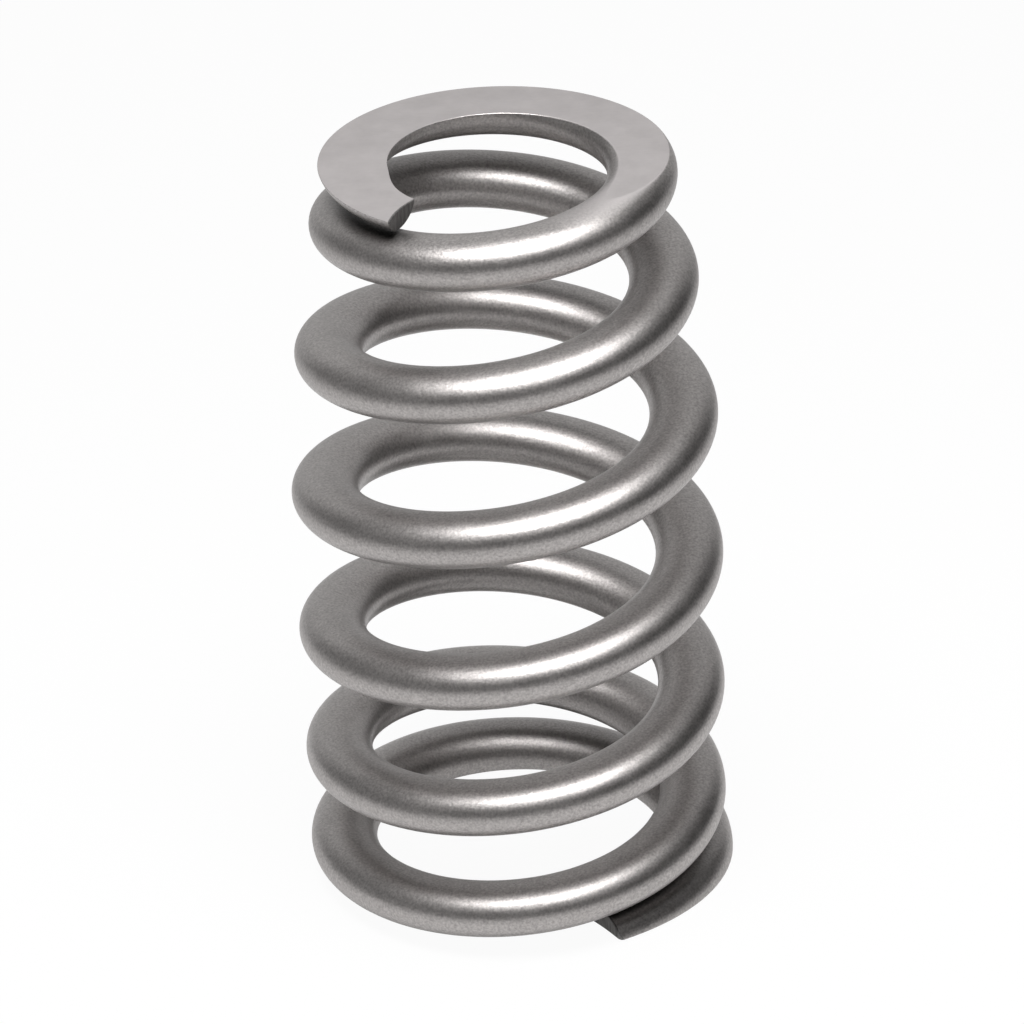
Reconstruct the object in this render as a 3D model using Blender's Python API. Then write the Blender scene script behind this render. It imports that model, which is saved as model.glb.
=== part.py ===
"""Beehive valve spring: one right-hand wound wire of ovate section, with closed and ground ends.

Metres, +Z up. The origin is the centre of the bottom ground face, where the spring stands on its seat.
"""

import math

import bmesh
import bpy
import numpy as np

# Wire section: an oval that lies flat, its outer side a little higher than its inner side
WIRE_WIDTH = 0.00500
WIRE_HEIGHT = 0.00394
WIRE_LEAN = math.radians(6.8)

# Coil: a straight base that narrows to a small top
BASE_OUTER_DIAMETER = 0.0316
TOP_OUTER_DIAMETER = 0.0255
FREE_LENGTH = 0.0576
TURNS = 6.80
TIP_BEARING = math.radians(-62.3)

# Taper, in turns below the top tip; it narrows slowly at first and fastest near the top
TAPER_START = 3.48
TAPER_END = 0.35
TAPER_DELAY = 1.3

# Ends: the bottom turn springs open, and both tips are tucked in
BASE_SPREAD = 0.00068
BASE_SPREAD_TURNS = 0.48
BASE_TUCK = 0.0011
BASE_TUCK_TURNS = 0.16
TOP_TUCK = 0.00013
TOP_TUCK_TURNS = 0.50

# Closed ends: what is left of the wire at a ground tip, and how near the tip lies to the turn beside it
TIP_THICKNESS = 0.00145
TIP_GAP = 0.00031

# How the coil opens, as (turns from the tip, share of the active pitch), from the bottom tip and from the top tip
BASE_OPENING = ((0.0, 0.0), (0.55, 0.0), (1.15, 0.65), (1.85, 0.72), (2.5, 0.91), (3.8, 1.0))
TOP_OPENING = ((0.0, 0.0), (0.4, 0.0), (0.8, 0.45), (1.2, 0.61), (1.65, 0.92), (2.3, 0.87), (3.0, 1.0))

# Grinding: the wheels take everything beyond the two end planes
GRIND_MARGIN = 0.002

# Fineness of the mesh
POINTS_PER_TURN = 40
SECTION_POINTS = 16
STEPS_PER_TURN = 200
WELD_DISTANCE = 1e-6
SHARP_EDGE = math.radians(40.0)

SPRING_STEEL = (0.42, 0.41, 0.40, 1.0)
STEEL_ROUGHNESS = 0.38


def clear_scene():
    for thing in list(bpy.data.objects):
        bpy.data.objects.remove(thing, do_unlink=True)


def make_collection(name, helper=False):
    collection = bpy.data.collections.new(name)
    collection.hide_render = helper
    bpy.context.scene.collection.children.link(collection)
    return collection


def steel_material():
    material = bpy.data.materials.new("shot_peened_spring_steel")
    material.use_nodes = True
    shader = material.node_tree.nodes["Principled BSDF"]
    shader.inputs["Base Color"].default_value = SPRING_STEEL
    shader.inputs["Metallic"].default_value = 1.0
    shader.inputs["Roughness"].default_value = STEEL_ROUGHNESS
    return material


def smooth_step(x):
    x = np.clip(x, 0.0, 1.0)
    return x * x * (3.0 - 2.0 * x)


def wire_section():
    """The wire's outline, radially outward along x and towards the top along y."""
    angle = np.arange(SECTION_POINTS) * 2.0 * math.pi / SECTION_POINTS
    across = WIRE_WIDTH / 2.0 * np.cos(angle)
    upward = WIRE_HEIGHT / 2.0 * np.sin(angle)
    x = across * math.cos(WIRE_LEAN) - upward * math.sin(WIRE_LEAN)
    y = across * math.sin(WIRE_LEAN) + upward * math.cos(WIRE_LEAN)
    return x, y


def running_sum(values, step):
    """The area under values up to each of its points."""
    return np.concatenate([[0.0], np.cumsum((values[1:] + values[:-1]) / 2.0 * step)])


def opening_share(turns_from_tip, stations):
    turns, shares = zip(*stations)
    return np.interp(turns_from_tip, turns, shares)


def coil_heights(turns, wire_half_height):
    """Height of the wire's centre at each of these turns, which run evenly from the bottom tip to the top tip."""
    step = turns[1] - turns[0]
    base_share = opening_share(turns, BASE_OPENING)
    top_share = opening_share(TURNS - turns, TOP_OPENING)
    base_closed = running_sum(1.0 - base_share, step)
    top_closed = running_sum(1.0 - top_share, step)
    active = running_sum(base_share * top_share, step)

    # Three pitches follow from three rises: each end turn climbs past its own tip, and the coil spans the free length.
    first_turn = np.searchsorted(turns, 1.0)
    last_turn = len(turns) - 1 - first_turn
    past_tip = 2.0 * wire_half_height + TIP_GAP
    buried = wire_half_height - TIP_THICKNESS
    rises = np.array([
        [base_closed[first_turn], top_closed[first_turn], active[first_turn]],
        [
            base_closed[-1] - base_closed[last_turn],
            top_closed[-1] - top_closed[last_turn],
            active[-1] - active[last_turn],
        ],
        [base_closed[-1], top_closed[-1], active[-1]],
    ])
    base_pitch, top_pitch, active_pitch = np.linalg.solve(
        rises, [past_tip, past_tip, FREE_LENGTH + 2.0 * buried]
    )
    return base_pitch * base_closed + top_pitch * top_closed + active_pitch * active - buried


def coil_radii(turns):
    base_radius = (BASE_OUTER_DIAMETER - WIRE_WIDTH) / 2.0
    top_radius = (TOP_OUTER_DIAMETER - WIRE_WIDTH) / 2.0
    below_top = TURNS - turns
    along_taper = np.clip((TAPER_START - below_top) / (TAPER_START - TAPER_END), 0.0, 1.0)
    radii = base_radius + (top_radius - base_radius) * smooth_step(along_taper ** TAPER_DELAY)
    radii += BASE_SPREAD * smooth_step(1.0 - turns / BASE_SPREAD_TURNS)
    radii -= BASE_TUCK * smooth_step(1.0 - turns / BASE_TUCK_TURNS)
    radii -= TOP_TUCK * smooth_step(1.0 - below_top / TOP_TUCK_TURNS)
    return radii


def wire_path(wire_half_height):
    """Points along the wire's centre, from the bottom tip anticlockwise up to the top tip."""
    fine_turns = np.linspace(0.0, TURNS, round(TURNS * STEPS_PER_TURN) + 1)
    fine_heights = coil_heights(fine_turns, wire_half_height)
    turns = np.linspace(0.0, TURNS, round(TURNS * POINTS_PER_TURN) + 1)
    bearing = TIP_BEARING + 2.0 * math.pi * turns
    radius = coil_radii(turns)
    heights = np.interp(turns, fine_turns, fine_heights)
    return np.stack([radius * np.cos(bearing), radius * np.sin(bearing), heights], axis=1)


def poly_curve(name, points, collection, closed=False, flat=False):
    data = bpy.data.curves.new(name, "CURVE")
    data.dimensions = "2D" if flat else "3D"
    spline = data.splines.new("POLY")
    spline.points.add(len(points) - 1)
    for point, place in zip(spline.points, points):
        point.co = (*place, 1.0)
    spline.use_cyclic_u = closed
    curve = bpy.data.objects.new(name, data)
    collection.objects.link(curve)
    return curve


def wound_wire(part_collection, helper_collection):
    """The spring as it leaves the coiling machine, its round tips still whole."""
    section_x, section_y = wire_section()
    outline = [(x, y, 0.0) for x, y in zip(section_x, section_y)]
    section = poly_curve("wire_section", outline, helper_collection, closed=True, flat=True)
    section.hide_render = True
    section.display_type = "WIRE"

    wire = poly_curve("wire_path", wire_path(section_y.max()), part_collection)
    wire.data.twist_mode = "Z_UP"
    wire.data.bevel_mode = "OBJECT"
    wire.data.bevel_object = section
    wire.data.use_fill_caps = True
    return as_mesh(wire, "valve_spring", part_collection)


def as_mesh(curve, name, collection):
    """A mesh object in the curve's place, its end caps welded on."""
    bpy.context.view_layer.update()
    graph = bpy.context.evaluated_depsgraph_get()
    mesh = bpy.data.meshes.new_from_object(curve.evaluated_get(graph))
    mesh.name = name
    solid = bpy.data.objects.new(name, mesh)
    solid.matrix_world = curve.matrix_world
    collection.objects.link(solid)
    bpy.data.objects.remove(curve, do_unlink=True)

    cage = bmesh.new()
    cage.from_mesh(mesh)
    bmesh.ops.remove_doubles(cage, verts=cage.verts, dist=WELD_DISTANCE)
    bmesh.ops.recalc_face_normals(cage, faces=cage.faces)
    cage.to_mesh(mesh)
    cage.free()
    return solid


def grinding_wheel(name, low, high, collection):
    """A block that covers the whole spring across, between two heights."""
    width = BASE_OUTER_DIAMETER + 2.0 * GRIND_MARGIN
    bpy.ops.mesh.primitive_cube_add(size=1.0, location=(0.0, 0.0, (low + high) / 2.0))
    wheel = bpy.context.active_object
    wheel.name = name
    wheel.scale = (width, width, high - low)
    bpy.ops.object.transform_apply(location=False, rotation=False, scale=True)
    for owner in list(wheel.users_collection):
        owner.objects.unlink(wheel)
    collection.objects.link(wheel)
    wheel.hide_render = True
    wheel.display_type = "WIRE"
    return wheel


def grind_ends(spring, collection):
    depth = WIRE_HEIGHT + GRIND_MARGIN
    wheels = (
        grinding_wheel("bottom_grinding", -depth, 0.0, collection),
        grinding_wheel("top_grinding", FREE_LENGTH, FREE_LENGTH + depth, collection),
    )
    for wheel in wheels:
        cut = spring.modifiers.new(wheel.name, "BOOLEAN")
        cut.operation = "DIFFERENCE"
        cut.solver = "EXACT"
        cut.object = wheel


def main():
    clear_scene()
    part_collection = make_collection("beehive_valve_spring")
    helper_collection = make_collection("cutters_and_guides")
    spring = wound_wire(part_collection, helper_collection)
    grind_ends(spring, helper_collection)
    spring.data.shade_smooth()
    spring.data.set_sharp_from_angle(angle=SHARP_EDGE)
    spring.data.materials.clear()
    spring.data.materials.append(steel_material())


main()
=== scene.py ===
"""The looks of a beehive valve spring: one peened steel wire with ground ends, on a white studio floor.

Metres, +Z up. The origin is the centre of the spring's bottom face, and -Y is towards the camera.
"""

import math

import bpy
import numpy as np
from mathutils import Matrix, Vector


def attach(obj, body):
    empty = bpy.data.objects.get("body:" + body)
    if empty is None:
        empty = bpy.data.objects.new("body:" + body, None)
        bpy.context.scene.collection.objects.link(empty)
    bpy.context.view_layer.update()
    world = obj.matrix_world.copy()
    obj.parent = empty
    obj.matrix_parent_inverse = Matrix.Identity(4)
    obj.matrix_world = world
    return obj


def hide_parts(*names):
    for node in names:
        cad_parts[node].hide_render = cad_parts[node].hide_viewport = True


# Wire section: an oval that lies flat, its outer side a little higher than its inner side
WIRE_WIDTH = 0.00500
WIRE_HEIGHT = 0.00394
WIRE_LEAN = math.radians(6.8)
WIRE_HALF_HEIGHT = math.hypot(WIRE_WIDTH * math.sin(WIRE_LEAN), WIRE_HEIGHT * math.cos(WIRE_LEAN)) / 2.0
CROWN_ANGLE = math.atan2(WIRE_HEIGHT * math.cos(WIRE_LEAN), WIRE_WIDTH * math.sin(WIRE_LEAN))

# Coil: a straight base that narrows to a small top
BASE_OUTER_DIAMETER = 0.0316
TOP_OUTER_DIAMETER = 0.0255
FREE_LENGTH = 0.0576
TURNS = 6.80
TIP_BEARING = math.radians(-62.3)

# Taper, in turns below the top tip; it narrows slowly at first and fastest near the top
TAPER_START = 3.48
TAPER_END = 0.35
TAPER_DELAY = 1.3

# Ends: the bottom turn springs open, and both tips are tucked in
BASE_SPREAD = 0.00068
BASE_SPREAD_TURNS = 0.48
BASE_TUCK = 0.0011
BASE_TUCK_TURNS = 0.16
TOP_TUCK = 0.00013
TOP_TUCK_TURNS = 0.50

# Closed ends: what is left of the wire at a ground tip, and how near the tip lies to the turn beside it
TIP_THICKNESS = 0.00145
TIP_GAP = 0.00031

# How the coil opens from each tip, as (turns from the tip, share of the active pitch)
BASE_OPENING = ((0.0, 0.0), (0.55, 0.0), (1.15, 0.65), (1.85, 0.72), (2.5, 0.91), (3.8, 1.0))
TOP_OPENING = ((0.0, 0.0), (0.4, 0.0), (0.8, 0.45), (1.2, 0.61), (1.65, 0.92), (2.3, 0.87), (3.0, 1.0))

# Sheared tips: each face stands a little past its bearing, slants and is hollow across the wire,
# and the wire gets narrower towards it on the inside of the coil
BASE_TIP = {"reach": 0.00031, "slant": -0.16, "hollow": 0.00018, "corner": 0.00035, "narrowing": 0.00028}
TOP_TIP = {"reach": 0.00097, "slant": 0.193, "hollow": 0.00020, "corner": 0.00012, "narrowing": 0.00086}
FACE_BLEND_TURNS = 0.05
NARROWING_TURNS = 0.11
EDGE_RADIUS = 0.00014
MOST_OF_A_SIDE_ROUNDED = 0.45

# Fineness of the mesh
STEPS_PER_TURN = 1000
RUN_ON_STEPS = 30
RINGS_PER_TURN = 128
FLAT_POINTS = 6
FLANK_POINTS = 24
CROWN_HALF_ANGLE = math.radians(4.0)
TIP_FACE_SHARES = (0.8, 0.6, 0.4, 0.2)

# Material slots of the mesh
PEENED, GROUND, SHEARED = range(3)

# Steel: the dark and the light tone of each finish, and its least and greatest roughness
PEENED_TONES = ((0.32, 0.304, 0.297), (0.52, 0.494, 0.484))
PEENED_ROUGHNESS = (0.39, 0.45)
GROUND_TONES = ((0.45, 0.428, 0.426), (0.50, 0.476, 0.474))
GROUND_ROUGHNESS = (0.62, 0.72)
SHEARED_TONES = ((0.12, 0.116, 0.113), (0.29, 0.280, 0.275))
SHEARED_ROUGHNESS = 0.6

# Marks in the steel: how wide they are, how much they are drawn out, how deep and how strong
SHOT_GRAIN = 0.00018
SHOT_DIMPLES = 0.00035
SHOT_DEPTH = 0.00005
SHOT_STRENGTH = 0.4
MOTTLE = 0.0025
GRINDING_STREAKS = 0.00008
GRINDING_STRETCH = (0.04, 1.0, 1.0)
GRINDING_DEPTH = 0.00001
GRINDING_STRENGTH = 0.3
GROUND_PATCHES = 0.002
SHEAR_STREAKS = 0.0002
SHEAR_STRETCH = (1.0, 1.0, 0.12)
SHEAR_DEPTH = 0.00006
SHEAR_STRENGTH = 0.6

# Noise is taken between these two values, which it seldom passes
NOISE_LOW = 0.3
NOISE_HIGH = 0.7

# Painted shade between turns that lie close together: the tone is darkened by the share of the room that
# the steel is open to
PAINTED_SHADE_REACH = 0.004
PAINTED_SHADE_BRIGHTNESS = 0.25
PAINTED_SHADE_DARKEST_AT = 0.15
PAINTED_SHADE_GONE_AT = 0.85
PAINTED_SHADE_SAMPLES = 8

# Brushing: beside a ground face the wheels leave a pale band, where the wire lies this close to the
# end plane and faces it; the band begins at one upward share of its facing and is full at the other
BRUSHED_DEPTH = 0.0006
BRUSHED_FROM = 0.80
BRUSHED_FULLY = 0.95
BRUSHED_TONE = (0.475, 0.452, 0.45, 1.0)
BRUSHED_ROUGHNESS = 0.67
BRUSHED_STRENGTH = 0.1

# Camera: placed by its distance from the coil's axis and turned to look at the middle of the spring
IMAGE_SIZE = 1024
FOCAL_PIXELS = 4734.67
SENSOR_WIDTH = 36.0
CAMERA_PLACE = (0.0, -0.30526, 0.19609)
CAMERA_PAN = 0.001
CAMERA_TILT = 0.5006
CAMERA_ROLL = -0.0348
CAMERA_NEAREST = 0.01

# Studio: a floor, four walls and a ceiling, and one softbox above the spring
FLOOR_RADIUS = 4.0
FLOOR_CORNERS = 64
FLOOR_LIFT = -0.00002
FLOOR_PAPER = (0.8, 0.8, 0.8, 1.0)
FLOOR_WHITE_SEEN = 0.95
FLOOR_WHITE_MIRRORED = 0.42
ROOM_HALF_WIDTH = 0.7
ROOM_HEIGHT = 1.0
WALL_BRIGHTNESS = {"front": 0.06, "right": 0.01, "back": 0.65, "left": 0.20, "ceiling": 0.02}
SOFTBOX_SIZE = (0.17, 0.113)
SOFTBOX_PLACE = (0.006, -0.060, 0.27)
SOFTBOX_RADIANCE = 12.3
AREA_LIGHT_FACTOR = 4.0


def smooth_step(x):
    x = np.clip(x, 0.0, 1.0)
    return x * x * (3.0 - 2.0 * x)


def running_sum(values, step):
    """The area under values up to each of its points."""
    return np.concatenate([[0.0], np.cumsum((values[1:] + values[:-1]) / 2.0 * step)])


def opening_share(turns_from_tip, stations):
    turns, shares = zip(*stations)
    return np.interp(turns_from_tip, turns, shares)


def coil_heights(turns):
    """Height of the wire's centre at each of these turns, which run evenly from tip to tip."""
    step = turns[1] - turns[0]
    base_share = opening_share(turns, BASE_OPENING)
    top_share = opening_share(TURNS - turns, TOP_OPENING)
    base_closed = running_sum(1.0 - base_share, step)
    top_closed = running_sum(1.0 - top_share, step)
    active = running_sum(base_share * top_share, step)

    # Three pitches follow from three rises: each end turn climbs past its own tip,
    # and the coil spans the free length.
    first_turn = np.searchsorted(turns, 1.0)
    last_turn = len(turns) - 1 - first_turn
    past_tip = 2.0 * WIRE_HALF_HEIGHT + TIP_GAP
    buried = WIRE_HALF_HEIGHT - TIP_THICKNESS
    rises = np.array([
        [base_closed[first_turn], top_closed[first_turn], active[first_turn]],
        [
            base_closed[-1] - base_closed[last_turn],
            top_closed[-1] - top_closed[last_turn],
            active[-1] - active[last_turn],
        ],
        [base_closed[-1], top_closed[-1], active[-1]],
    ])
    base_pitch, top_pitch, active_pitch = np.linalg.solve(
        rises, [past_tip, past_tip, FREE_LENGTH + 2.0 * buried]
    )
    return base_pitch * base_closed + top_pitch * top_closed + active_pitch * active - buried


def coil_radii(turns):
    base_radius = (BASE_OUTER_DIAMETER - WIRE_WIDTH) / 2.0
    top_radius = (TOP_OUTER_DIAMETER - WIRE_WIDTH) / 2.0
    below_top = TURNS - turns
    along_taper = np.clip((TAPER_START - below_top) / (TAPER_START - TAPER_END), 0.0, 1.0)
    radii = base_radius + (top_radius - base_radius) * smooth_step(along_taper ** TAPER_DELAY)
    radii += BASE_SPREAD * smooth_step(1.0 - turns / BASE_SPREAD_TURNS)
    radii -= BASE_TUCK * smooth_step(1.0 - turns / BASE_TUCK_TURNS)
    radii -= TOP_TUCK * smooth_step(1.0 - below_top / TOP_TUCK_TURNS)
    return radii


def unit(vectors):
    return vectors / np.linalg.norm(vectors, axis=-1, keepdims=True)


class Helix:
    """The wire's centre line, and the three directions that its section is drawn in."""

    def __init__(self):
        turns = np.linspace(0.0, TURNS, round(TURNS * STEPS_PER_TURN) + 1)
        heights = coil_heights(turns)
        run_on = turns[1] * np.arange(1, RUN_ON_STEPS + 1)
        level = np.zeros(RUN_ON_STEPS)
        self.turns = np.concatenate([-run_on[::-1], turns, TURNS + run_on])
        heights = np.concatenate([heights[0] + level, heights, heights[-1] + level])
        self.radii = coil_radii(self.turns)
        bearing = TIP_BEARING + 2.0 * math.pi * self.turns
        x, y = self.radii * np.cos(bearing), self.radii * np.sin(bearing)
        self.centre = np.stack([x, y, heights], axis=1)
        self.along = unit(np.gradient(self.centre, axis=0))
        self.outward = unit(np.cross(self.along, [0.0, 0.0, 1.0]))
        self.upward = np.cross(self.outward, self.along)

    def at(self, turns, table):
        """One of the tables above, read at these turns."""
        if table.ndim == 1:
            return np.interp(turns, self.turns, table)
        return np.stack([np.interp(turns, self.turns, table[:, k]) for k in range(3)], axis=-1)

    def turn_length(self, turns):
        return 2.0 * math.pi * self.at(turns, self.radii)


def leaned(across, upward):
    """Turned by the wire's lean, outward across the coil and upward."""
    x = across * math.cos(WIRE_LEAN) - upward * math.sin(WIRE_LEAN)
    y = across * math.sin(WIRE_LEAN) + upward * math.cos(WIRE_LEAN)
    return np.stack([x, y], axis=-1)


def oval(angle):
    """A point of the wire's outline and the direction that it faces."""
    point = leaned(WIRE_WIDTH / 2.0 * np.cos(angle), WIRE_HEIGHT / 2.0 * np.sin(angle))
    facing = leaned(np.cos(angle) / WIRE_WIDTH, np.sin(angle) / WIRE_HEIGHT)
    return point, unit(facing)


def between(first, last, steps):
    """Evenly spaced values from each first to each last, one row per ring."""
    return first[:, None] + (last - first)[:, None] * np.linspace(0.0, 1.0, steps + 1)


def ground_side(level, middle, upward):
    """The crown of every ring from edge to edge, cut level where the ring reaches the grinding wheel."""
    cut = np.arccos(np.clip(level * upward / WIRE_HALF_HEIGHT, -1.0, 1.0))
    is_ground = cut > CROWN_HALF_ANGLE
    half = np.maximum(cut, CROWN_HALF_ANGLE)
    point, facing = oval(between(middle - half, middle + half, FLAT_POINTS + 1))
    share = np.linspace(0.0, 1.0, FLAT_POINTS + 2)[:, None]
    chord = point[:, :1] + (point[:, -1:] - point[:, :1]) * share
    point = np.where(is_ground[:, None, None], chord, point)
    facing = np.where(is_ground[:, None, None], [0.0, upward], facing)
    return point, facing, half, is_ground


def ring_outlines(helix, rings):
    """Points, facings and side names of every ring's outline, round the wire from the top's outer edge."""
    height = helix.at(rings, helix.centre)[:, 2]
    steep = helix.at(rings, helix.upward)[:, 2]
    top, top_facing, top_half, top_ground = ground_side((FREE_LENGTH - height) / steep, CROWN_ANGLE, 1.0)
    bottom_middle = CROWN_ANGLE + math.pi
    bottom, bottom_facing, bottom_half, bottom_ground = ground_side(-height / steep, bottom_middle, -1.0)
    inner, inner_facing = oval(between(CROWN_ANGLE + top_half, bottom_middle - bottom_half, FLANK_POINTS))
    outer_end = CROWN_ANGLE - top_half + 2.0 * math.pi
    outer, outer_facing = oval(between(bottom_middle + bottom_half, outer_end, FLANK_POINTS))
    sides = (
        (top, top_facing, "top"),
        (inner, inner_facing, "inner"),
        (bottom, bottom_facing, "bottom"),
        (outer, outer_facing, "outer"),
    )

    # Every side runs from corner to corner, and each corner becomes three points that round it.
    points, facings, names = [], [], []
    for index, (side, facing, name) in enumerate(sides):
        beyond_side, beyond_facing, beyond_name = sides[(index + 1) % len(sides)]
        corner = side[:, -1]
        back, on = side[:, -2] - corner, beyond_side[:, 1] - corner
        room = np.minimum(np.linalg.norm(back, axis=1), np.linalg.norm(on, axis=1))[:, None]
        pull = np.minimum(EDGE_RADIUS, MOST_OF_A_SIDE_ROUNDED * room)
        before, beyond = corner + unit(back) * pull, corner + unit(on) * pull
        rounded = (before + 2.0 * corner + beyond) / 4.0
        halfway = unit(facing[:, -1] + beyond_facing[:, 0])
        points += [side[:, 1:-1], before[:, None], rounded[:, None], beyond[:, None]]
        facings += [facing[:, 1:-1], facing[:, -1:], halfway[:, None], beyond_facing[:, :1]]
        names += [name] * (side.shape[1] - 1) + ["edge"] + [beyond_name]
    ground = {"top": top_ground, "bottom": bottom_ground}
    return np.concatenate(points, axis=1), np.concatenate(facings, axis=1), np.array(names), ground


def tip_face(tip, across):
    """How far a tip's face stands past its bearing, this far out from the wire's centre, and its slope."""
    half = WIRE_WIDTH / 2.0
    share = np.clip(across / half, -1.0, 1.0)
    into_corner = np.clip((across - half) / tip["corner"] + 1.0, 0.0, 1.0)
    stand = tip["reach"] + tip["slant"] * across - tip["hollow"] * (1.0 - share ** 2)
    stand -= tip["corner"] * into_corner ** 2
    slope = tip["slant"] + 2.0 * tip["hollow"] * share / half - 2.0 * into_corner
    return stand, slope


def narrowed(tip, amount, outline, facing):
    """The outline with its inner side drawn outward, by this share of the tip's narrowing."""
    half = WIRE_WIDTH / 2.0
    pull = tip["narrowing"] * amount / 2.0
    point, normal = outline.copy(), facing.copy()
    point[..., 0] += pull * (1.0 - outline[..., 0] / half)
    normal[..., 0] /= 1.0 - pull / half
    return point, unit(normal)


def placed(helix, rings, turns, outline, facing):
    """Points and normals in space: each keeps its ring's height and moves round to its own turn."""
    outward, upward = helix.at(turns, helix.outward), helix.at(turns, helix.upward)
    point = helix.at(turns, helix.centre) + outline[..., :1] * outward + outline[..., 1:] * upward
    level = helix.at(rings, helix.centre)[..., 2] + outline[..., 1] * helix.at(rings, helix.upward)[..., 2]
    point[..., 2] = level
    normal = facing[..., :1] * outward + facing[..., 1:] * upward
    return point, normal


def wire_rings(helix, rings, outline, facing):
    """Places the rings along the wire, those near a tip bent to follow its face."""
    shift = np.zeros(outline.shape[:2])
    across = outline[..., 0]
    for tip, distance, outside in ((BASE_TIP, rings, -1.0), (TOP_TIP, TURNS - rings, 1.0)):
        stand, _ = tip_face(tip, across)
        shift += outside * smooth_step(1.0 - distance / FACE_BLEND_TURNS)[:, None] * stand
        amount = smooth_step(1.0 - distance / NARROWING_TURNS)[:, None]
        outline, facing = narrowed(tip, amount, outline, facing)
    turns = rings[:, None] + shift / helix.turn_length(rings)[:, None]
    return placed(helix, rings[:, None] + np.zeros_like(shift), turns, outline, facing)


def tip_rings(helix, tip, end_turn, outline, facing):
    """Rings that round a tip's edge and close its face, from the edge to the middle."""
    outside = 1.0 if end_turn > 0.0 else -1.0
    per_length = 1.0 / helix.turn_length(end_turn)
    middle = outline.mean(axis=0)
    rounding = EDGE_RADIUS / np.linalg.norm(outline - middle, axis=1).mean()

    # A row's share of the outline, its setback in edge radii, and its normals' turn towards the face
    rows = [(1.0, 1.0, 0.0), (1.0 - 0.25 * rounding, 0.25, 0.5), (1.0 - rounding, 0.0, 1.0)]
    rows += [(share, 0.0, 1.0) for share in TIP_FACE_SHARES] + [(0.0, 0.0, 1.0)]
    points, normals = [], []
    for share, setback, turned in rows:
        count = len(outline) if share > 0.0 else 1
        shrunk = (middle + (outline - middle) * share)[:count]
        stand, slope = tip_face(tip, shrunk[:, 0])
        turns = end_turn + outside * (stand - setback * EDGE_RADIUS) * per_length
        drawn, drawn_facing = narrowed(tip, 1.0, shrunk, facing[:count])
        point, normal = placed(helix, np.full(count, end_turn), turns, drawn, drawn_facing)
        face = outside * helix.at(turns, helix.along) - slope[:, None] * helix.at(turns, helix.outward)
        points.append(point)
        normals.append(unit(normal * (1.0 - turned) + unit(face) * turned))
    return points, normals


def quads(lower, upper):
    """Faces between two rings of vertex numbers, facing away from the wire."""
    return np.stack([lower, upper, np.roll(upper, -1), np.roll(lower, -1)], axis=1)


def spring_mesh():
    helix = Helix()
    rings = np.linspace(0.0, TURNS, round(TURNS * RINGS_PER_TURN) + 1)
    outline, facing, sides, ground = ring_outlines(helix, rings)
    point, normal = wire_rings(helix, rings, outline, facing)
    for end, level, up in (("bottom", 0.0, -1.0), ("top", FREE_LENGTH, 1.0)):
        flat = ground[end][:, None] & (sides == end)
        point[flat, 2] = level
        normal[flat] = (0.0, 0.0, up)
    base_points, base_normals = tip_rings(helix, BASE_TIP, 0.0, outline[0], facing[0])
    top_points, top_normals = tip_rings(helix, TOP_TIP, TURNS, outline[-1], facing[-1])
    base_points, base_normals = base_points[::-1], base_normals[::-1]

    # The wire's rings run from the middle of the bottom tip's face to the middle of the top tip's face.
    all_points = base_points + list(point[1:-1]) + top_points
    all_normals = base_normals + list(normal[1:-1]) + top_normals
    first = np.cumsum([0] + [len(ring) for ring in all_points])
    numbers = [np.arange(first[k], first[k + 1]) for k in range(len(all_points))]
    tip_count = len(base_points)

    faces, slots = [], []
    for k in range(len(numbers) - 1):
        lower, upper = numbers[k], numbers[k + 1]
        if len(lower) == 1:
            faces += [(lower[0], a, b) for a, b in zip(upper, np.roll(upper, -1))]
        elif len(upper) == 1:
            faces += [(upper[0], b, a) for a, b in zip(lower, np.roll(lower, -1))]
        else:
            faces += quads(lower, upper).tolist()
        count = max(len(lower), len(upper))
        on_tip = k < tip_count - 1 or k >= len(numbers) - tip_count
        slot = np.full(count, SHEARED if on_tip else PEENED)
        if not on_tip:
            ring = k - tip_count + 1
            for end, is_ground in ground.items():
                if is_ground[ring] and is_ground[ring + 1]:
                    slot[(sides == end) | (np.roll(sides, -1) == end)] = GROUND
        slots.append(slot)

    place, normal = np.concatenate(all_points), np.concatenate(all_normals)
    place[:, 2] = np.clip(place[:, 2], 0.0, FREE_LENGTH)
    mesh = bpy.data.meshes.new("valve_spring_wire")
    mesh.from_pydata(place.tolist(), [], faces)
    mesh.polygons.foreach_set("material_index", np.concatenate(slots).astype(np.int32))
    mesh.polygons.foreach_set("use_smooth", np.ones(len(mesh.polygons), dtype=bool))
    mesh.normals_split_custom_set_from_vertices(unit(normal).tolist())
    mesh.update()
    return mesh


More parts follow.
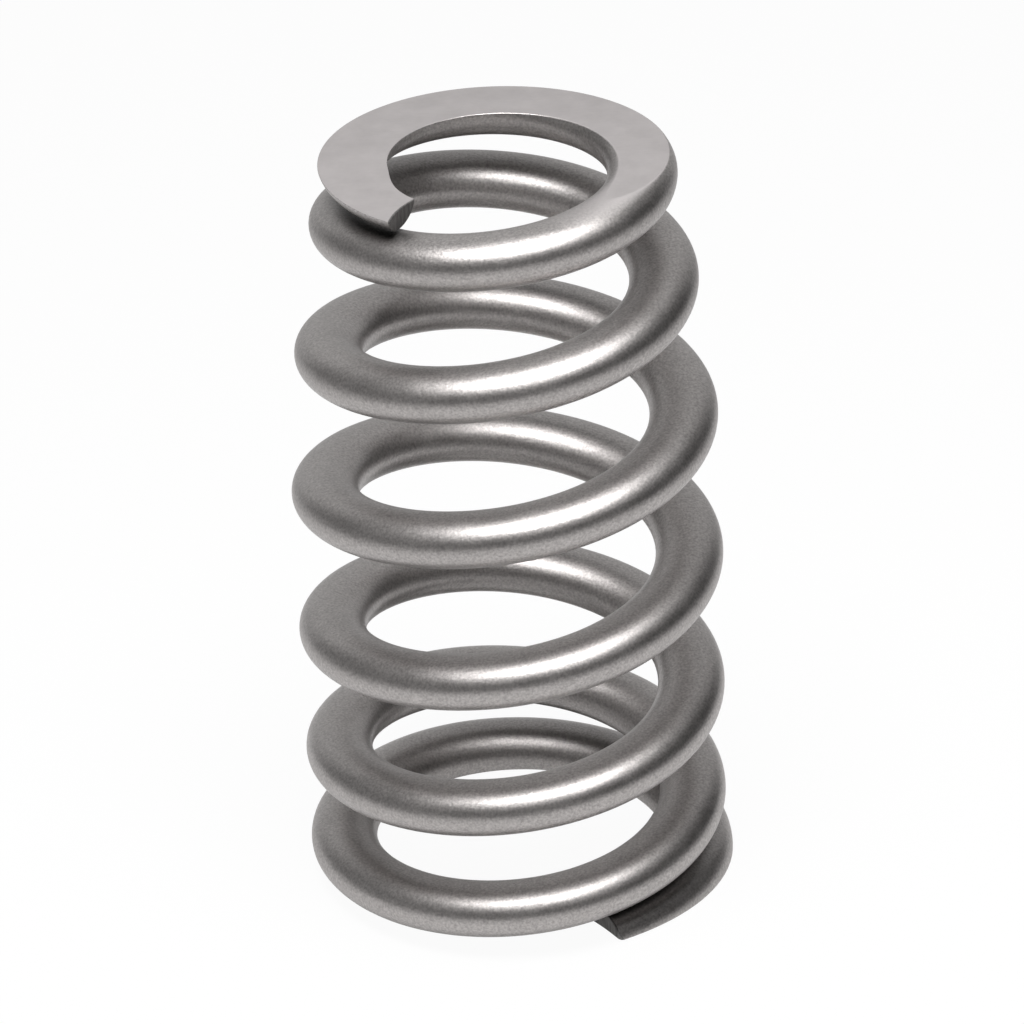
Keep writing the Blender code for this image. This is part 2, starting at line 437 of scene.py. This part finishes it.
class Shading:
    """A short way to write a material's nodes."""

    def __init__(self, name):
        self.material = bpy.data.materials.new(name)
        self.material.use_nodes = True
        self.nodes = self.material.node_tree.nodes
        self.links = self.material.node_tree.links
        self.shader = self.nodes["Principled BSDF"]
        self.output = self.nodes["Material Output"]

    def feed(self, socket, value):
        """Gives a socket another node's output, or a constant."""
        if isinstance(value, bpy.types.NodeSocket):
            self.links.new(value, socket)
        else:
            socket.default_value = value

    def node(self, kind, inputs=None, **settings):
        node = self.nodes.new(kind)
        for name, value in settings.items():
            setattr(node, name, value)
        for name, value in (inputs or {}).items():
            self.feed(node.inputs[name], value)
        return node

    def object_place(self, stretch=(1.0, 1.0, 1.0)):
        place = self.node("ShaderNodeTexCoord").outputs["Object"]
        return self.node("ShaderNodeMapping", {"Vector": place, "Scale": stretch}).outputs["Vector"]

    def noise(self, size, place, detail=2.0, roughness=0.5):
        """Noise whose blotches are about this size, in metres."""
        node = self.node("ShaderNodeTexNoise", {
            "Vector": place,
            "Scale": 1.0 / size,
            "Detail": detail,
            "Roughness": roughness,
        })
        return node.outputs["Fac"]

    def spread(self, value, to_low, to_high, low=NOISE_LOW, high=NOISE_HIGH):
        node = self.node("ShaderNodeMapRange", {
            "Value": value,
            "From Min": low,
            "From Max": high,
            "To Min": to_low,
            "To Max": to_high,
        })
        return node.outputs["Result"]

    def combined(self, operation, a, b):
        """The sum or product of two values, kept between nothing and one."""
        node = self.node("ShaderNodeMath", operation=operation, use_clamp=True)
        self.feed(node.inputs[0], a)
        self.feed(node.inputs[1], b)
        return node.outputs["Value"]

    def mixed(self, share, first, second):
        node = self.node("ShaderNodeMixShader", {"Fac": share})
        self.feed(node.inputs[1], first)
        self.feed(node.inputs[2], second)
        return node.outputs["Shader"]

    def tone(self, share, tones):
        node = self.node("ShaderNodeValToRGB", {"Fac": share})
        for stop, place, colour in zip(node.color_ramp.elements, (NOISE_LOW, NOISE_HIGH), tones):
            stop.position = place
            stop.color = (*colour, 1.0)
        return node.outputs["Color"]

    def painted_shade_on(self, tone):
        """The tone, darkened by painted shade close to the next turn, where the steel is open to little of
        the room.
        """
        crevice = self.node(
            "ShaderNodeAmbientOcclusion",
            {"Distance": PAINTED_SHADE_REACH},
            samples=PAINTED_SHADE_SAMPLES,
            only_local=True,
        )
        open_share = crevice.outputs["AO"]
        painted_brightness = self.spread(open_share, PAINTED_SHADE_BRIGHTNESS, 1.0, PAINTED_SHADE_DARKEST_AT, PAINTED_SHADE_GONE_AT)
        return self.node("ShaderNodeHueSaturation", {"Color": tone, "Value": painted_brightness}).outputs["Color"]

    def upward_part(self, vector):
        return self.node("ShaderNodeSeparateXYZ", {"Vector": vector}).outputs["Z"]

    def brushed(self):
        """How far the grinding wheels brushed a point: close to an end plane and facing it."""
        height = self.upward_part(self.node("ShaderNodeTexCoord").outputs["Object"])
        facing = self.upward_part(self.node("ShaderNodeNewGeometry").outputs["Normal"])
        near_top = self.spread(height, 0.0, 1.0, FREE_LENGTH - BRUSHED_DEPTH, FREE_LENGTH)
        facing_up = self.spread(facing, 0.0, 1.0, BRUSHED_FROM, BRUSHED_FULLY)
        near_bottom = self.spread(height, 1.0, 0.0, 0.0, BRUSHED_DEPTH)
        facing_down = self.spread(facing, 1.0, 0.0, -BRUSHED_FULLY, -BRUSHED_FROM)
        at_top = self.combined("MULTIPLY", near_top, facing_up)
        at_bottom = self.combined("MULTIPLY", near_bottom, facing_down)
        return self.combined("ADD", at_top, at_bottom)

    def blended(self, share, tone, other_tone):
        inputs = {"Fac": share, "Color1": tone, "Color2": other_tone}
        return self.node("ShaderNodeMixRGB", inputs).outputs["Color"]

    def bump(self, height, depth, strength):
        node = self.node("ShaderNodeBump", {"Height": height, "Distance": depth, "Strength": strength})
        return node.outputs["Normal"]

    def finish(self, **inputs):
        """The material, with these inputs on its own shader."""
        for name, value in inputs.items():
            self.feed(self.shader.inputs[name.replace("_", " ").title()], value)
        return self.material

    def surface(self, shader):
        """The material, with this shader in its own one's place."""
        self.nodes.remove(self.shader)
        self.links.new(shader, self.output.inputs["Surface"])
        return self.material


def peened_steel():
    """Satin grey wire, pitted all over by fine shot, and brushed beside its ground faces."""
    look = Shading("shot_peened_spring_steel")
    place = look.object_place()
    grain = look.noise(SHOT_GRAIN, place, detail=2.5, roughness=0.55)
    dimples = look.noise(SHOT_DIMPLES, place)
    mottle = look.noise(MOTTLE, place, detail=4.0, roughness=0.6)
    pits = look.combined("MULTIPLY", grain, dimples)
    brushed = look.brushed()
    # Painted shade: the peened tone is darkened between close turns
    peened_tone = look.painted_shade_on(look.tone(grain, PEENED_TONES))
    peened_roughness = look.spread(mottle, *PEENED_ROUGHNESS)
    strength = look.spread(brushed, SHOT_STRENGTH, BRUSHED_STRENGTH, 0.0, 1.0)
    return look.finish(
        metallic=1.0,
        base_color=look.blended(brushed, peened_tone, BRUSHED_TONE),
        roughness=look.spread(brushed, peened_roughness, BRUSHED_ROUGHNESS, 0.0, 1.0),
        normal=look.bump(pits, SHOT_DEPTH, strength),
    )


def ground_steel():
    """The faces that the grinding wheel left: matte, paler and finely streaked."""
    look = Shading("ground_spring_steel")
    streaks = look.noise(GRINDING_STREAKS, look.object_place(GRINDING_STRETCH))
    patches = look.noise(GROUND_PATCHES, look.object_place(), detail=4.0, roughness=0.6)
    return look.finish(
        metallic=1.0,
        base_color=look.tone(patches, GROUND_TONES),
        roughness=look.spread(streaks, *GROUND_ROUGHNESS),
        normal=look.bump(streaks, GRINDING_DEPTH, GRINDING_STRENGTH),
    )


def sheared_steel():
    """The torn faces where the wire was cut off: dark and rough, with streaks down the cut."""
    look = Shading("sheared_spring_steel")
    streaks = look.noise(SHEAR_STREAKS, look.object_place(SHEAR_STRETCH), detail=4.0, roughness=0.65)
    return look.finish(
        metallic=1.0,
        # Painted shade: the sheared tone is darkened close to the next turn
        base_color=look.painted_shade_on(look.tone(streaks, SHEARED_TONES)),
        roughness=SHEARED_ROUGHNESS,
        normal=look.bump(streaks, SHEAR_DEPTH, SHEAR_STRENGTH),
    )


def build_spring():
    mesh = spring_mesh()
    for material in (peened_steel(), ground_steel(), sheared_steel()):
        mesh.materials.append(material)
    spring = bpy.data.objects.new("valve_spring_wire", mesh)
    bpy.context.scene.collection.objects.link(spring)
    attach(spring, "root")
    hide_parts("valve_spring")


def white_world():
    world = bpy.data.worlds.new("white_studio")
    world.use_nodes = True
    world.node_tree.nodes["Background"].inputs["Color"].default_value = (1.0, 1.0, 1.0, 1.0)
    bpy.context.scene.world = world


def white_paper():
    """Paper that the camera sees as white and the steel as pale, with a faint shadow; clear from below."""
    look = Shading("white_floor")
    path = look.node("ShaderNodeLightPath").outputs
    mirrored = look.combined("ADD", path["Is Glossy Ray"], path["Is Transmission Ray"])
    white_seen = look.combined("MULTIPLY", path["Is Camera Ray"], FLOOR_WHITE_SEEN)
    white_mirrored = look.combined("MULTIPLY", mirrored, FLOOR_WHITE_MIRRORED)
    paper = look.node("ShaderNodeBsdfDiffuse", {"Color": FLOOR_PAPER}).outputs["BSDF"]
    glow = look.node("ShaderNodeEmission").outputs["Emission"]
    clear = look.node("ShaderNodeBsdfTransparent").outputs["BSDF"]
    from_below = look.node("ShaderNodeNewGeometry").outputs["Backfacing"]
    from_above = look.mixed(look.combined("ADD", white_seen, white_mirrored), paper, glow)
    return look.surface(look.mixed(from_below, from_above, clear))


def white_floor():
    bpy.ops.mesh.primitive_circle_add(
        vertices=FLOOR_CORNERS,
        radius=FLOOR_RADIUS,
        fill_type="NGON",
        location=(0.0, 0.0, FLOOR_LIFT),
    )
    floor = bpy.context.active_object
    floor.name = "studio_floor"
    floor.data.materials.append(white_paper())


def studio_card(name, corners, brightness):
    """A flat card that the steel mirrors and the camera doesn't see."""
    look = Shading(name)
    glow = look.node("ShaderNodeEmission", {"Strength": brightness})
    mesh = bpy.data.meshes.new(name)
    mesh.from_pydata(corners, [], [(0, 1, 2, 3)])
    mesh.materials.append(look.surface(glow.outputs["Emission"]))
    card = bpy.data.objects.new(name, mesh)
    bpy.context.scene.collection.objects.link(card)
    card.visible_camera = False


def studio_room():
    """Walls and a ceiling, each evenly bright: a pale back, a dark right side and a dark ceiling."""
    wide, high = ROOM_HALF_WIDTH, ROOM_HEIGHT
    low = [(-wide, -wide, 0.0), (wide, -wide, 0.0), (wide, wide, 0.0), (-wide, wide, 0.0)]
    up = [(x, y, high) for x, y, _ in low]
    for k, name in enumerate(("front", "right", "back", "left")):
        after = (k + 1) % 4
        studio_card(name + "_card", [low[k], low[after], up[after], up[k]], WALL_BRIGHTNESS[name])
    studio_card("ceiling_card", up, WALL_BRIGHTNESS["ceiling"])


def softbox():
    lamp = bpy.data.lights.new("overhead_softbox", "AREA")
    lamp.shape = "RECTANGLE"
    lamp.size, lamp.size_y = SOFTBOX_SIZE
    lamp.energy = SOFTBOX_RADIANCE * AREA_LIGHT_FACTOR * lamp.size * lamp.size_y
    holder = bpy.data.objects.new("overhead_softbox", lamp)
    holder.location = SOFTBOX_PLACE
    holder.visible_camera = False
    bpy.context.scene.collection.objects.link(holder)


def camera():
    data = bpy.data.cameras.new("camera")
    data.sensor_width = SENSOR_WIDTH
    data.lens = FOCAL_PIXELS / IMAGE_SIZE * SENSOR_WIDTH
    data.clip_start = CAMERA_NEAREST
    forward = Vector((
        math.sin(CAMERA_PAN) * math.cos(CAMERA_TILT),
        math.cos(CAMERA_PAN) * math.cos(CAMERA_TILT),
        -math.sin(CAMERA_TILT),
    ))
    level = forward.cross(Vector((0.0, 0.0, 1.0))).normalized()
    upright = level.cross(forward)
    right = math.cos(CAMERA_ROLL) * level + math.sin(CAMERA_ROLL) * upright
    up = math.cos(CAMERA_ROLL) * upright - math.sin(CAMERA_ROLL) * level
    turn = Matrix((right, up, -forward)).transposed()
    holder = bpy.data.objects.new("camera", data)
    holder.matrix_world = Matrix.Translation(CAMERA_PLACE) @ turn.to_4x4()
    bpy.context.scene.collection.objects.link(holder)
    bpy.context.scene.camera = holder


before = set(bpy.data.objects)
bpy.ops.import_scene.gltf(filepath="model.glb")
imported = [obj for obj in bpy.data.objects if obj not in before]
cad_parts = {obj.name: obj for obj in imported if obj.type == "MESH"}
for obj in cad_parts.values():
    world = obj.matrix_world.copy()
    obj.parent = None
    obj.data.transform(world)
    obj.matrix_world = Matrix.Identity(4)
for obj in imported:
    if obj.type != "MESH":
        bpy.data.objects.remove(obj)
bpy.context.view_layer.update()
build_spring()
white_world()
white_floor()
studio_room()
softbox()
camera()
bpy.context.scene.view_settings.view_transform = "Standard"
